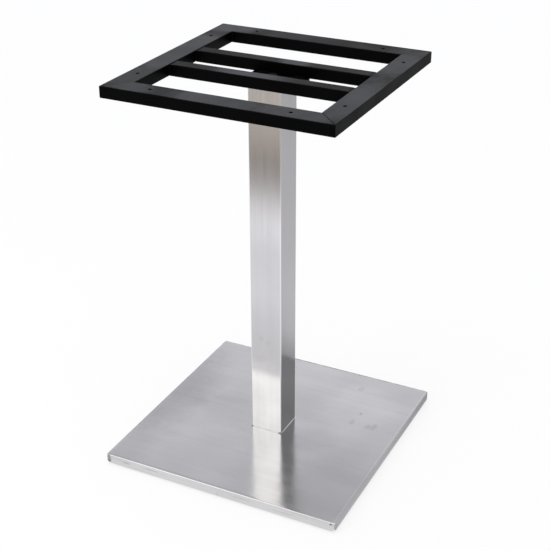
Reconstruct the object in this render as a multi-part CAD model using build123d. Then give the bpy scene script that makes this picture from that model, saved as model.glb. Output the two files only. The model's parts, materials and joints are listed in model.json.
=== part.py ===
from build123d import *
import math
import os

# Square pedestal dining table base. Millimetres, +Z up, origin on the floor under the column.
# A weighted foot under a folded stainless cover carries a square stainless column. A tie rod
# clamps the column between the foot and a black welded frame that the table top is screwed to.
# Front is -Y, and left is -X.

# Plan sizes
BASE_SIDE = 450.0
COLUMN_SIDE = 60.0
FRAME_SIDE = 400.0

# Levelling feet: a hexagonal nylon pad moulded round the end of a stud, and a square weld nut that
# the stud is screwed into, under the ballast
FOOT_INSET = 40.0  # outer face of the cover to the axis of the foot
FOOT_SEAT_GAP = 0.3  # pad to weld nut with the foot screwed right in
PAD_FLATS = 28.0
PAD_HEIGHT = 4.0
PAD_FLOOR_CHAMFER = 0.8
STUD_DIAMETER = 8.0
STUD_TIP_GAP = 0.4  # tip of the stud to the underside of the cover
STUD_FIT = 0.1  # radial clearance in the weld nut
STUD_HOLE_CLEARANCE = 0.5  # radial clearance in the ballast
STUD_SEAT = 1.2  # nylon under the end of the stud
WELD_NUT_SIDE = 14.0
WELD_NUT_HEIGHT = 6.5

# Ballast plate and its cover
BALLAST_THICKNESS = 8.0
BALLAST_CORNER = 4.0
BALLAST_CLEARANCE = 0.8  # each side, inside the cover
COVER_SHEET = 1.2
COVER_INNER_BEND = 0.2
COVER_INNER_CORNER = 1.8
COVER_CORNER_NIP = 5.0  # rounding of the lower end of each upright corner
COVER_ROD_CLEARANCE = 2.0  # radial
SKIRT_CLEARANCE = 3.0  # floor to the lower edge of the cover

# Column
COLUMN_LENGTH = 660.0
COLUMN_WALL = 1.2
COLUMN_INNER_RADIUS = 0.3
COLUMN_EDGE_BREAK = 0.4
LOCATOR_THICKNESS = 5.0
LOCATOR_CORNER = 2.0
LOCATOR_CLEARANCE = 0.3  # each side, inside the column

# Tie rod and its fasteners
ROD_DIAMETER = 10.0
ROD_CHAMFER = 1.0
ROD_CLEARANCE = 0.5  # radial, in every plate
ROD_LOWER_PROJECTION = 2.0  # past the face of the nut
ROD_UPPER_PROJECTION = 0.5
ROD_NUT_FLATS = 16.0
LOWER_NUT_HEIGHT = 8.0
UPPER_NUT_HEIGHT = 5.0  # a thin nut, well below the table top
ROD_NUT_BEVEL = 30.0  # degrees, on the corners of the nut at both ends
ROD_THREAD_CLEARANCE = 0.1  # radial, in the nuts
WASHER_DIAMETER = 20.0
WASHER_THICKNESS = 2.0
WASHER_CLEARANCE = 0.3  # radial
SPRING_WASHER_WIDTH = 3.5
SPRING_WASHER_THICKNESS = 2.2
SPRING_WASHER_SPLIT = 1.5
SPRING_WASHER_SLANT = 25.0  # degrees from upright
COUNTERBORE_CLEARANCE = 2.0  # radial, round the lower washer
COUNTERBORE_DEPTH = 4.0

# Black frame
RAIL_WIDTH = 40.0
RAIL_HEIGHT = 20.0
CROSSBAR_WIDTH = 24.0
CROSSBAR_HEIGHT = 20.0
CROSSBAR_SPACING = 87.0  # between the middles of the two crossbars
CROSSBAR_DROP = 0.5  # top of the rails to the top of the crossbars
GRIND_LENGTH = 6.0  # stretch at each end of a crossbar where the weld on top is ground hollow
GRIND_DEPTH = 1.0
TUBE_WALL = 1.2
TUBE_INNER_RADIUS = 0.3
MITRE_GROOVE = 0.8  # depth of the open line at the front right corner, where the weld is hollow
SCREW_SPACING = 240.0
SCREW_HOLE_DIAMETER = 6.5
PLATE_LENGTH = 100.0
PLATE_LAP = 7.0  # under each crossbar
PLATE_THICKNESS = 5.0
PLATE_CORNER = 3.0

# Heights, from the floor up
WELD_NUT_BOTTOM = PAD_HEIGHT + FOOT_SEAT_GAP
BALLAST_BOTTOM = WELD_NUT_BOTTOM + WELD_NUT_HEIGHT
BALLAST_TOP = BALLAST_BOTTOM + BALLAST_THICKNESS
BASE_TOP = BALLAST_TOP + COVER_SHEET
COLUMN_TOP = BASE_TOP + COLUMN_LENGTH
PLATE_TOP = COLUMN_TOP + PLATE_THICKNESS
CROSSBAR_TOP = PLATE_TOP + CROSSBAR_HEIGHT
FRAME_TOP = CROSSBAR_TOP + CROSSBAR_DROP

# Faces that the tie rod's fasteners stack up from
LOWER_WASHER_BOTTOM = BALLAST_BOTTOM + COUNTERBORE_DEPTH - WASHER_THICKNESS
LOWER_NUT_BOTTOM = LOWER_WASHER_BOTTOM - LOWER_NUT_HEIGHT
UPPER_SPRING_BOTTOM = PLATE_TOP + WASHER_THICKNESS
UPPER_NUT_BOTTOM = UPPER_SPRING_BOTTOM + SPRING_WASHER_THICKNESS
ROD_BOTTOM = LOWER_NUT_BOTTOM - ROD_LOWER_PROJECTION
ROD_TOP = UPPER_NUT_BOTTOM + UPPER_NUT_HEIGHT + ROD_UPPER_PROJECTION

# Middle lines in plan
FOOT_LINE = BASE_SIDE / 2 - FOOT_INSET
RAIL_LINE = (FRAME_SIDE - RAIL_WIDTH) / 2
CROSSBAR_LINE = CROSSBAR_SPACING / 2

CUT_MARGIN = 1.0  # how far cutting shapes run past the solid that they cut


def disc(diameter, bottom, top):
    """Upright cylinder on the Z axis between two heights."""
    return Pos(0, 0, bottom) * extrude(Circle(diameter / 2), top - bottom)


def hollow_section(width, height, wall, inner_radius):
    """Section of a cold-formed rectangular tube, with walls as thick round the corners."""
    outside = RectangleRounded(width, height, inner_radius + wall)
    inside = RectangleRounded(width - 2 * wall, height - 2 * wall, inner_radius)
    return outside - inside


def washer(diameter, hole, thickness):
    return extrude(Circle(diameter / 2) - Circle(hole / 2), thickness)


def hexagon(flats):
    return RegularPolygon(flats / 2, 6, major_radius=False)


def foot_stud():
    """Threaded stud on the Z axis, with its lower end moulded into the pad."""
    return disc(STUD_DIAMETER, STUD_SEAT, BALLAST_TOP - STUD_TIP_GAP)


def foot_pad():
    """Nylon pad on the Z axis, with flats for a spanner and an eased edge on the floor."""
    pad = extrude(hexagon(PAD_FLATS), PAD_HEIGHT)
    pad = chamfer(pad.edges().group_by(Axis.Z)[0], PAD_FLOOR_CHAMFER)
    return pad - disc(STUD_DIAMETER, STUD_SEAT, PAD_HEIGHT + CUT_MARGIN)


def foot_weld_nuts():
    """The four nuts under the ballast, one over each foot."""
    outline = Rectangle(WELD_NUT_SIDE, WELD_NUT_SIDE) - Circle(STUD_DIAMETER / 2 + STUD_FIT)
    nut = extrude(outline, WELD_NUT_HEIGHT)
    corners = GridLocations(2 * FOOT_LINE, 2 * FOOT_LINE, 2, 2)
    return Compound([Pos(0, 0, WELD_NUT_BOTTOM) * place * nut for place in corners])


def ballast_plate():
    """Flame-cut steel plate with clipped corners, counterbored from below for the tie rod."""
    side = BASE_SIDE - 2 * (COVER_SHEET + BALLAST_CLEARANCE)
    outline = Rectangle(side, side)
    outline = chamfer(outline.vertices(), BALLAST_CORNER)
    stud_hole = Circle(STUD_DIAMETER / 2 + STUD_HOLE_CLEARANCE)
    outline -= GridLocations(2 * FOOT_LINE, 2 * FOOT_LINE, 2, 2) * stud_hole
    outline -= Circle(ROD_DIAMETER / 2 + ROD_CLEARANCE)
    plate = Pos(0, 0, BALLAST_BOTTOM) * extrude(outline, BALLAST_THICKNESS)
    counterbore = WASHER_DIAMETER + 2 * COUNTERBORE_CLEARANCE
    return plate - disc(counterbore, BALLAST_BOTTOM - CUT_MARGIN, BALLAST_BOTTOM + COUNTERBORE_DEPTH)


def cover_block(side, corner, bend, top):
    """Block with round upright corners and a round top edge, as high as the skirt."""
    block = extrude(RectangleRounded(side, side, corner), top - SKIRT_CLEARANCE)
    block = fillet(block.edges().group_by(Axis.Z)[-1], bend)
    return Pos(0, 0, SKIRT_CLEARANCE) * block


def corner_nip():
    """Cutter that rounds the lower end of the cover's upright corner on the +X side."""
    corner = COVER_INNER_CORNER + COVER_SHEET
    reach = (BASE_SIDE / 2 - corner) * math.sqrt(2) + corner
    round_x = reach - COVER_CORNER_NIP
    round_z = SKIRT_CLEARANCE + COVER_CORNER_NIP
    size = COVER_CORNER_NIP + CUT_MARGIN
    waste = Pos(round_x, round_z) * Rectangle(size, size, align=(Align.MIN, Align.MAX))
    waste -= Pos(round_x, round_z) * Circle(COVER_CORNER_NIP)
    return extrude(Plane.XZ * waste, 3 * COVER_CORNER_NIP, both=True)


def base_cover():
    """Sheet folded down on four sides, with welded and ground corners, over the ballast."""
    outer_bend = COVER_INNER_BEND + COVER_SHEET
    outer_corner = COVER_INNER_CORNER + COVER_SHEET
    outside = cover_block(BASE_SIDE, outer_corner, outer_bend, BASE_TOP)
    inner_side = BASE_SIDE - 2 * COVER_SHEET
    inside = cover_block(inner_side, COVER_INNER_CORNER, COVER_INNER_BEND, BALLAST_TOP)
    cover = outside - inside
    cover -= [Rot(0, 0, 45 + 90 * corner) * corner_nip() for corner in range(4)]
    rod_hole = ROD_DIAMETER + 2 * COVER_ROD_CLEARANCE
    return cover - disc(rod_hole, BALLAST_TOP - CUT_MARGIN, BASE_TOP + CUT_MARGIN)


def column_tube():
    """Square tube with its cut ends lightly deburred."""
    outline = RectangleRounded(COLUMN_SIDE, COLUMN_SIDE, COLUMN_INNER_RADIUS + COLUMN_WALL)
    bar = extrude(outline, COLUMN_LENGTH)
    ends = bar.edges().group_by(Axis.Z)
    bar = chamfer(ends[0] + ends[-1], COLUMN_EDGE_BREAK)
    inner_side = COLUMN_SIDE - 2 * COLUMN_WALL
    bore = extrude(RectangleRounded(inner_side, inner_side, COLUMN_INNER_RADIUS), COLUMN_LENGTH)
    return Pos(0, 0, BASE_TOP) * (bar - bore)


def locator(bottom):
    """Square plate with clipped corners that fills the inside of the column at one end."""
    side = COLUMN_SIDE - 2 * (COLUMN_WALL + LOCATOR_CLEARANCE)
    outline = Rectangle(side, side)
    outline = chamfer(outline.vertices(), LOCATOR_CORNER)
    outline -= Circle(ROD_DIAMETER / 2 + ROD_CLEARANCE)
    return Pos(0, 0, bottom) * extrude(outline, LOCATOR_THICKNESS)


def tie_rod():
    rod = disc(ROD_DIAMETER, ROD_BOTTOM, ROD_TOP)
    ends = rod.edges().group_by(Axis.Z)
    return chamfer(ends[0] + ends[-1], ROD_CHAMFER)


def tie_rod_washers():
    """Plain washers under the ballast and on the centre plate."""
    plain = washer(WASHER_DIAMETER, ROD_DIAMETER + 2 * WASHER_CLEARANCE, WASHER_THICKNESS)
    return Compound([Pos(0, 0, bottom) * plain for bottom in (LOWER_WASHER_BOTTOM, PLATE_TOP)])


def bevelled_blank(height):
    """Turned blank that bevels the corners of a rod nut where the two overlap."""
    across_flats = ROD_NUT_FLATS / 2
    across_corners = ROD_NUT_FLATS / math.sqrt(3)
    bevel = (across_corners - across_flats) * math.tan(math.radians(ROD_NUT_BEVEL))
    outline = Polyline(
        (0, 0),
        (across_flats, 0),
        (across_corners, bevel),
        (across_corners, height - bevel),
        (across_flats, height),
        (0, height),
        close=True,
    )
    return revolve(Plane.XZ * make_face(outline), Axis.Z)


def rod_nut(bottom, height):
    bore = disc(ROD_DIAMETER + 2 * ROD_THREAD_CLEARANCE, -CUT_MARGIN, height + CUT_MARGIN)
    nut = (extrude(hexagon(ROD_NUT_FLATS), height) & bevelled_blank(height)) - bore
    return Pos(0, 0, bottom) * nut


def tie_rod_nuts():
    """Nuts on the two ends of the tie rod, the upper one thin."""
    lower = rod_nut(LOWER_NUT_BOTTOM, LOWER_NUT_HEIGHT)
    upper = rod_nut(UPPER_NUT_BOTTOM, UPPER_NUT_HEIGHT)
    return Compound([lower, upper])


def spring_washer():
    """Split ring under the upper nut, flat because the nut is tight, with a slanted split."""
    hole = ROD_DIAMETER + 2 * WASHER_CLEARANCE
    diameter = hole + 2 * SPRING_WASHER_WIDTH
    ring = washer(diameter, hole, SPRING_WASHER_THICKNESS)
    split = Rot(SPRING_WASHER_SLANT, 0, 0) * Box(diameter, SPRING_WASHER_SPLIT, diameter)
    split = Pos(diameter / 2, 0, SPRING_WASHER_THICKNESS / 2) * split
    return Pos(0, 0, UPPER_SPRING_BOTTOM) * (ring - split)


def mitre_groove():
    """V-shaped cutter along the top of the mitre at the front right corner."""
    side = MITRE_GROOVE * math.sqrt(2)
    bar = Rot(45, 0, 0) * Box(2 * RAIL_WIDTH, side, side)
    return Pos(RAIL_LINE, -RAIL_LINE, FRAME_TOP) * Rot(0, 0, -45) * bar


def frame_rail(quarter):
    """Rail along one side of the frame, the given number of quarter turns from the front one."""
    section = Plane.YZ * hollow_section(RAIL_WIDTH, RAIL_HEIGHT, TUBE_WALL, TUBE_INNER_RADIUS)
    middle = FRAME_TOP - RAIL_HEIGHT / 2
    bar = Pos(0, -RAIL_LINE, middle) * extrude(section, FRAME_SIDE / 2, both=True)
    wedge = make_face(Polyline((0, 0), (-FRAME_SIDE, -FRAME_SIDE), (FRAME_SIDE, -FRAME_SIDE), close=True))
    rail = bar & (Pos(0, 0, middle) * extrude(wedge, RAIL_HEIGHT, both=True))
    screw_hole = disc(SCREW_HOLE_DIAMETER, FRAME_TOP - RAIL_HEIGHT - CUT_MARGIN, FRAME_TOP + CUT_MARGIN)
    rail -= [Pos(side * SCREW_SPACING / 2, -RAIL_LINE) * screw_hole for side in (-1, 1)]
    return Rot(0, 0, 90 * quarter) * rail - mitre_groove()


def ground_end(bar_end, bar_top):
    """Cutter for the shallow slope that grinding leaves on top of the +X end of a crossbar."""
    slope = GRIND_DEPTH / GRIND_LENGTH
    outside = bar_end + CUT_MARGIN
    above = bar_top + CUT_MARGIN
    waste = Polyline(
        (outside, above),
        (bar_end - GRIND_LENGTH - CUT_MARGIN / slope, above),
        (outside, bar_top - GRIND_DEPTH - slope * CUT_MARGIN),
        close=True,
    )
    return extrude(Plane.XZ * make_face(waste), CROSSBAR_WIDTH, both=True)


def crossbar(side):
    """Tube between the side rails: side is -1 for the front one and 1 for the back one."""
    section = Plane.YZ * hollow_section(CROSSBAR_WIDTH, CROSSBAR_HEIGHT, TUBE_WALL, TUBE_INNER_RADIUS)
    half_length = FRAME_SIDE / 2 - RAIL_WIDTH
    bar = extrude(section, half_length, both=True)
    cutter = ground_end(half_length, CROSSBAR_HEIGHT / 2)
    bar -= [Rot(0, 0, turn) * cutter for turn in (0, 180)]
    return Pos(0, side * CROSSBAR_LINE, CROSSBAR_TOP - CROSSBAR_HEIGHT / 2) * bar


def centre_plate():
    """Plate under both crossbars that sits on the end of the column."""
    width = CROSSBAR_SPACING - CROSSBAR_WIDTH + 2 * PLATE_LAP
    outline = RectangleRounded(PLATE_LENGTH, width, PLATE_CORNER)
    outline -= Circle(ROD_DIAMETER / 2 + ROD_CLEARANCE)
    return Pos(0, 0, COLUMN_TOP) * extrude(outline, PLATE_THICKNESS)


pieces = {
    "base_cover": base_cover(),
    "ballast_plate": ballast_plate(),
    "foot_weld_nuts": foot_weld_nuts(),
    "column_tube": column_tube(),
    "lower_locator": locator(BASE_TOP),
    "upper_locator": locator(COLUMN_TOP - LOCATOR_THICKNESS),
    "tie_rod": tie_rod(),
    "tie_rod_washers": tie_rod_washers(),
    "tie_rod_nuts": tie_rod_nuts(),
    "spring_washer": spring_washer(),
    "centre_plate": centre_plate(),
    "front_crossbar": crossbar(-1),
    "back_crossbar": crossbar(1),
}

for quarter, side in enumerate(("front", "right", "back", "left")):
    pieces[f"{side}_rail"] = frame_rail(quarter)

for end, y in (("front", -FOOT_LINE), ("back", FOOT_LINE)):
    for hand, x in (("left", -FOOT_LINE), ("right", FOOT_LINE)):
        pieces[f"foot_stud_{end}_{hand}"] = Pos(x, y) * foot_stud()
        pieces[f"foot_pad_{end}_{hand}"] = Pos(x, y) * foot_pad()

os.makedirs("parts", exist_ok=True)
for name, piece in pieces.items():
    piece.label = name
    export_step(piece, f"parts/{name}.step")
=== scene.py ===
# %% [markdown]
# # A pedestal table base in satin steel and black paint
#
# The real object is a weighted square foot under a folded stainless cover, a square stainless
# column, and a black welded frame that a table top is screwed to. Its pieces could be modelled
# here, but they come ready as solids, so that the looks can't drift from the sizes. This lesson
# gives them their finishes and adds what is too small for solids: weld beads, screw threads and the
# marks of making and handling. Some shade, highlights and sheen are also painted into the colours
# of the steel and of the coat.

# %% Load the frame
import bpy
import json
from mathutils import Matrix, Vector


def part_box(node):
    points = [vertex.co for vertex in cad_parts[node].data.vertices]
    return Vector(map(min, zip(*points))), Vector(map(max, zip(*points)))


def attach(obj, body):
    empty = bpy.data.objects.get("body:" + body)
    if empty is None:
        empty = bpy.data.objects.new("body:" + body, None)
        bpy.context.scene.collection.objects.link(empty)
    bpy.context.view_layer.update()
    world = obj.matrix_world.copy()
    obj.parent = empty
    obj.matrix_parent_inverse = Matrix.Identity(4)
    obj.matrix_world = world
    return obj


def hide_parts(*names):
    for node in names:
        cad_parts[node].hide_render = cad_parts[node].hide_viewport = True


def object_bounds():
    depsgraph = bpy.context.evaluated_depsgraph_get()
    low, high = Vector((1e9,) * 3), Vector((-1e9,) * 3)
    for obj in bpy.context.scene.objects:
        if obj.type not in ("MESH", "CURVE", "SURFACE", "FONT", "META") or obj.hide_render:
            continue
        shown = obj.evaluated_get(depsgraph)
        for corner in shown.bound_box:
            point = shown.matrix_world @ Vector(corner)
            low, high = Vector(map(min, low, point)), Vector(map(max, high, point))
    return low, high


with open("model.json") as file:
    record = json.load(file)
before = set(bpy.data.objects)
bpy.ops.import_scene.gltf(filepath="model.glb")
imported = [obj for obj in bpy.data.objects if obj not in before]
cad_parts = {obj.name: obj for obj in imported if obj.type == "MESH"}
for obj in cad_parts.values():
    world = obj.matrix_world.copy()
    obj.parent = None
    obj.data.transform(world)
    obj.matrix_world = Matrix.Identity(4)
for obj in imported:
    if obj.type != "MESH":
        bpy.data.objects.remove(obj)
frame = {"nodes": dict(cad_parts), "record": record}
print("nodes loaded:", len(frame["nodes"]))

# %% Tools and the box of the solids
import json
import math
import random

import bmesh
import bpy
from mathutils import Matrix, Vector

MM = 0.001  # the frame is in metres, and small sizes are easier to read in millimetres
cad_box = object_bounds()


def rounded(box):
    return [tuple(round(value, 4) for value in corner) for corner in box]


print("box of the solids:", rounded(cad_box))

# %% [markdown]
# ## Camera
#
# The view looks down on the front right corner. A camera could be set by eye and nudged until the
# picture fits. Here the corners of the foot and of the top frame were matched to their places in
# the picture instead, which gives the position, the angles and the focal length together.

# %% Camera
IMAGE_SIDE = 550  # pixels
SENSOR_WIDTH = 36.0  # millimetres
FOCAL_PIXELS = 1190.1
OPTICAL_CENTRE = (282.7, 281.4)  # pixel that the camera points at
CAMERA_PLACE = Vector((0.8345, -1.6660, 1.2870))
CAMERA_AZIMUTH = math.radians(26.09)
CAMERA_ELEVATION = math.radians(27.51)

camera_data = bpy.data.cameras.new("camera")
camera_data.sensor_width = SENSOR_WIDTH
camera_data.lens = SENSOR_WIDTH * FOCAL_PIXELS / IMAGE_SIDE
camera_data.shift_x = (IMAGE_SIDE / 2 - OPTICAL_CENTRE[0]) / IMAGE_SIDE
camera_data.shift_y = (OPTICAL_CENTRE[1] - IMAGE_SIDE / 2) / IMAGE_SIDE
camera = bpy.data.objects.new("camera", camera_data)
towards_camera = Vector((
    math.sin(CAMERA_AZIMUTH) * math.cos(CAMERA_ELEVATION),
    -math.cos(CAMERA_AZIMUTH) * math.cos(CAMERA_ELEVATION),
    math.sin(CAMERA_ELEVATION),
))
camera.location = CAMERA_PLACE
camera.rotation_mode = "QUATERNION"
camera.rotation_quaternion = (-towards_camera).to_track_quat("-Z", "Y")
bpy.context.scene.collection.objects.link(camera)
bpy.context.scene.camera = camera
bpy.context.scene.view_settings.view_transform = "Standard"
print("lens:", round(camera_data.lens, 2), "mm")

# %% [markdown]
# ## Shader helpers
#
# A material is a small network of nodes. Made by hand in the editor, each node is dropped, set and
# wired with the mouse. In a script the same three steps repeat for every node, so one helper does
# them: it adds the node, sets its options, and fills or wires each input.


# %% Shader helpers
def fill_inputs(tree, node, inputs):
    """Wires the inputs that are given as sockets and sets the others to their values."""
    for name, value in inputs.items():
        if isinstance(value, bpy.types.NodeSocket):
            tree.links.new(value, node.inputs[name])
        else:
            node.inputs[name].default_value = value


def add_node(tree, kind, inputs=None, **options):
    """Adds a shader node, sets its options, and fills its inputs."""
    made = tree.nodes.new("ShaderNode" + kind)
    for name, value in options.items():
        setattr(made, name, value)
    fill_inputs(tree, made, inputs or {})
    return made


def math_node(tree, operation, first, second=0.0, clamp=False):
    options = {"operation": operation, "use_clamp": clamp}
    return add_node(tree, "Math", {0: first, 1: second}, **options).outputs[0]


def times(tree, first, second):
    return math_node(tree, "MULTIPLY", first, second)


print("shader helpers ready")

# %% [markdown]
# ## Floor
#
# A product like this is shot on a pale floor that runs out of sight. A curved backdrop would need
# bending where floor meets wall, and a large flat disc under an even sky gives the same picture
# with nothing to bend. The camera and the steel see it lifted most of the way to plain white, which
# leaves the shadow soft and light. Seen from below the disc is clear, so that the feet can be
# looked at.


# %% New objects and blank finishes
def colour(value):
    return (*value, 1.0)


def plain_object(name, shape):
    """Turns a bmesh into an object at the origin of the scene."""
    mesh = bpy.data.meshes.new(name)
    shape.to_mesh(mesh)
    shape.free()
    made = bpy.data.objects.new(name, mesh)
    bpy.context.scene.collection.objects.link(made)
    return made


def blank_finish(name):
    """A material with an empty node tree."""
    made = bpy.data.materials.new(name)
    made.use_nodes = True
    made.node_tree.nodes.clear()
    return made, made.node_tree


def show_on_front(tree, front):
    """Shows a shader on the front of a surface and leaves its back clear."""
    clear = add_node(tree, "BsdfTransparent")
    from_behind = add_node(tree, "NewGeometry").outputs["Backfacing"]
    sides = {0: from_behind, 1: front.outputs[0], 2: clear.outputs[0]}
    shown = add_node(tree, "MixShader", sides)
    add_node(tree, "OutputMaterial", {"Surface": shown.outputs[0]})


print("helpers for objects and finishes ready")

# %% Floor
FLOOR_RADIUS = 25.0
FLOOR_SEGMENTS = 128
FLOOR_COLOUR = (0.94, 0.94, 0.94)
WHITE = (1.0, 1.0, 1.0)
FLOOR_LIFT = 0.75  # share of plain white

floor_shape = bmesh.new()
bmesh.ops.create_circle(floor_shape, cap_ends=True, segments=FLOOR_SEGMENTS, radius=FLOOR_RADIUS)
floor = plain_object("studio_floor", floor_shape)
floor_finish, tree = blank_finish("pale_floor")
pale = add_node(tree, "BsdfDiffuse", {"Color": colour(FLOOR_COLOUR)})
white = add_node(tree, "Emission", {"Color": colour(WHITE), "Strength": 1.0})
ray = add_node(tree, "LightPath").outputs
mirrored = math_node(tree, "ADD", ray["Is Glossy Ray"], ray["Is Transmission Ray"])
seen = math_node(tree, "ADD", ray["Is Camera Ray"], mirrored, clamp=True)
lift = times(tree, seen, FLOOR_LIFT)
lifted = add_node(tree, "MixShader", {0: lift, 1: pale.outputs[0], 2: white.outputs[0]})
show_on_front(tree, lifted)
floor.data.materials.append(floor_finish)
print("floor faces:", len(floor.data.polygons))

# %% [markdown]
# ## Sky
#
# Steel shows what is round it, so the light is mostly a matter of what it mirrors. Lamps and cloths
# could be hung one by one. A sky that wraps the scene is simpler and lights the floor evenly: pale
# at the horizon, greyer at a middle height where the top of the foot mirrors it, and brightest
# overhead. At the back right it is darker, which tones that side.


# %% Parts of a direction, fades and ramps
def split(tree, vector):
    return add_node(tree, "SeparateXYZ", {0: vector}).outputs


def remap(tree, value, low, high, start, end, smooth=True):
    """The value mapped from low..high to start..end and held there beyond."""
    steps = "SMOOTHSTEP" if smooth else "LINEAR"
    inputs = {"Value": value, "From Min": low, "From Max": high, "To Min": start, "To Max": end}
    return add_node(tree, "MapRange", inputs, interpolation_type=steps).outputs["Result"]


def fold(tree, operation, *values):
    """One value from many, such as their sum, their product or the largest of them."""
    result = values[0]
    for value in values[1:]:
        result = math_node(tree, operation, result, value)
    return result


def fill_ramp(ramp, stops):
    """Sets the stops of a colour ramp, each with its position and its red, green and blue."""
    elements = ramp.color_ramp.elements
    while len(elements) < len(stops):
        elements.new(1.0)
    for element, (position, tone) in zip(elements, stops):
        element.position = position
        element.color = colour(tone)


print("helpers for fades and ramps ready")

# %% Sky
SKY_STEPS = (  # height of the direction, from 0 at the horizon to 1 overhead, and its grey
    (0.00, 1.00), (0.24, 0.95), (0.36, 1.00), (0.44, 0.94), (0.52, 0.89),
    (0.57, 0.83), (0.61, 0.71), (0.66, 0.54), (0.76, 1.05), (0.88, 1.40),
)
SKY_TINT = (0.985, 0.985, 1.03)
SHADED_SIDE = 0.45  # what is left of the light at the back right, at a middle height
SHADE_FADES = (  # part of the direction, the limits of a fade along it, and the shade at both
    ("X", (-0.10, 0.35), (0.0, 1.0)),
    ("Y", (-0.20, 0.40), (0.0, 1.0)),
    ("Z", (0.20, 0.36), (0.0, 1.0)),
    ("Z", (0.62, 0.80), (1.0, 0.0)),
)

world = bpy.data.worlds.new("studio_sky")
bpy.context.scene.world = world
world.use_nodes = True
sky = world.node_tree
sky.nodes.clear()
direction = split(sky, add_node(sky, "TexCoord").outputs["Generated"])
ramp = add_node(sky, "ValToRGB", {0: direction["Z"]})
fill_ramp(ramp, [(height, [grey * tint for tint in SKY_TINT]) for height, grey in SKY_STEPS])
fades = [remap(sky, direction[axis], *limits, *shades) for axis, limits, shades in SHADE_FADES]
shade = fold(sky, "MULTIPLY", *fades)
strength = remap(sky, shade, 0.0, 1.0, 1.0, SHADED_SIDE, smooth=False)
background = add_node(sky, "Background", {"Color": ramp.outputs["Color"], "Strength": strength})
add_node(sky, "OutputWorld", {"Surface": background.outputs[0]})
print("sky steps:", len(SKY_STEPS))

# %% [markdown]
# ## Soft box
#
# One large lamp behind a cloth stands at the front left. The top of the foot mirrors it, and the
# column mirrors the top of the foot, which is how the column gets its bright lower end. A glowing
# sheet would give the same picture with more noise, so an area light is used.

# %% Soft box
BOX_SIDE = 1.3
BOX_PLACE = Vector((-0.875, -1.795, 1.335))
BOX_AIM = Vector((0.045, -0.015, 0.225))
BOX_RADIANCE = 1.65
BOX_COLOUR = (1.0, 0.99, 0.93)

box_light = bpy.data.lights.new("soft_box", "AREA")
box_light.shape = "SQUARE"
box_light.size = BOX_SIDE
box_light.energy = BOX_RADIANCE * math.pi * BOX_SIDE**2
box_light.color = BOX_COLOUR
soft_box = bpy.data.objects.new("soft_box", box_light)
soft_box.location = BOX_PLACE
soft_box.rotation_euler = (BOX_AIM - BOX_PLACE).to_track_quat("-Z", "Y").to_euler()
soft_box.visible_camera = False
bpy.context.scene.collection.objects.link(soft_box)
print("soft box:", round(box_light.energy, 1), "W")

# %% [markdown]
# ## Cards
#
# With a white floor all round, a mirror-like column would be one flat white. Photographers put grey
# and white cards outside the picture to give such faces their tones. Plain cards would give hard
# steps, so these are shaded across. One on the floor at the front greys and warms the top of the
# column, one at the back right tones its side, one at the right darkens the top of its corner, a
# strip greys the right skirt, and an upright white card at the front right lights the corners. They
# show in reflections only, so they light nothing and throw no shadow.

# %% Tones along a card
COOL = Vector((0.99, 0.99, 1.03))
WARM = Vector((1.10, 0.985, 0.87))


def object_place(tree):
    return add_node(tree, "TexCoord").outputs["Object"]


def shaded_along(tree, axis, steps):
    """Wires a colour that follows steps of place along the axis, grey and share of warm light."""
    first, last = steps[0][0], steps[-1][0]
    along = split(tree, object_place(tree))[axis]
    ramp = add_node(tree, "ValToRGB", {0: remap(tree, along, first, last, 0.0, 1.0, smooth=False)})
    fill_ramp(ramp, [
        ((reach - first) / (last - first), grey * COOL.lerp(WARM, warmth))
        for reach, grey, warmth in steps
    ])
    return ramp.outputs["Color"]


print("cool and warm light:", rounded((COOL, WARM)))


# %% A shaded card
def card(name, size, place, facing, axis, steps):
    """A one-sided glowing card, seen in reflections only, with its tones along an axis."""
    shape = bmesh.new()
    bmesh.ops.create_grid(shape, x_segments=1, y_segments=1, size=0.5)
    turn = Vector(facing).to_track_quat("Z", "Y").to_matrix().to_4x4()
    bmesh.ops.scale(shape, vec=(*size, 1.0), verts=shape.verts)
    bmesh.ops.transform(shape, matrix=Matrix.Translation(place) @ turn, verts=shape.verts)
    made = plain_object(name, shape)
    finish, tree = blank_finish(name)
    show_on_front(tree, add_node(tree, "Emission", {"Color": shaded_along(tree, axis, steps)}))
    made.data.materials.append(finish)
    made.visible_camera = False
    made.visible_diffuse = False
    made.visible_shadow = False
    print(name, "tones:", len(steps))


print("card maker ready")

# %% Tones of the cards
FRONT_TONES = (  # place along the card, grey and share of warm light
    (-4.00, 0.06, 1.0), (-2.40, 0.10, 1.0), (-2.05, 0.62, 0.9), (-1.87, 0.76, 0.7),
    (-1.65, 0.66, 0.8), (-1.42, 0.54, 1.0), (-1.26, 0.32, 0.9), (-1.12, 0.50, 0.5),
    (-1.00, 0.95, 0.2), (-0.94, 1.10, 0.1), (-0.85, 1.24, 0.0), (-0.74, 1.05, 0.0),
    (-0.52, 1.08, 0.0), (-0.36, 0.93, 0.0), (-0.25, 0.88, 0.1),
)
BACK_TONES = (
    (0.24, 0.40, 0.0), (0.29, 0.52, 0.0), (0.35, 0.67, 0.0), (0.50, 0.72, 0.0),
    (1.00, 0.65, 0.0), (1.40, 0.62, 0.0), (1.90, 0.57, 0.0), (3.44, 0.50, 0.0),
)
SIDE_TONES = ((1.00, 0.90, 0.2), (1.20, 0.30, 0.2), (2.60, 0.20, 0.2))
SKIRT_TONES = ((-0.30, 0.60, 0.1), (0.0, 0.54, 0.1), (0.30, 0.36, 0.1))
CORNER_TONES = ((0.40, 1.0, 0.2), (0.50, 3.0, 0.2), (0.90, 3.0, 0.2))
print("tones of the front card:", len(FRONT_TONES))

# %% Cards round the object
CARD_LIFT = 1 * MM  # above the floor
UP = (0.0, 0.0, 1.0)
TOWARDS_OBJECT = (-1.0, 0.5, -0.55)

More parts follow.
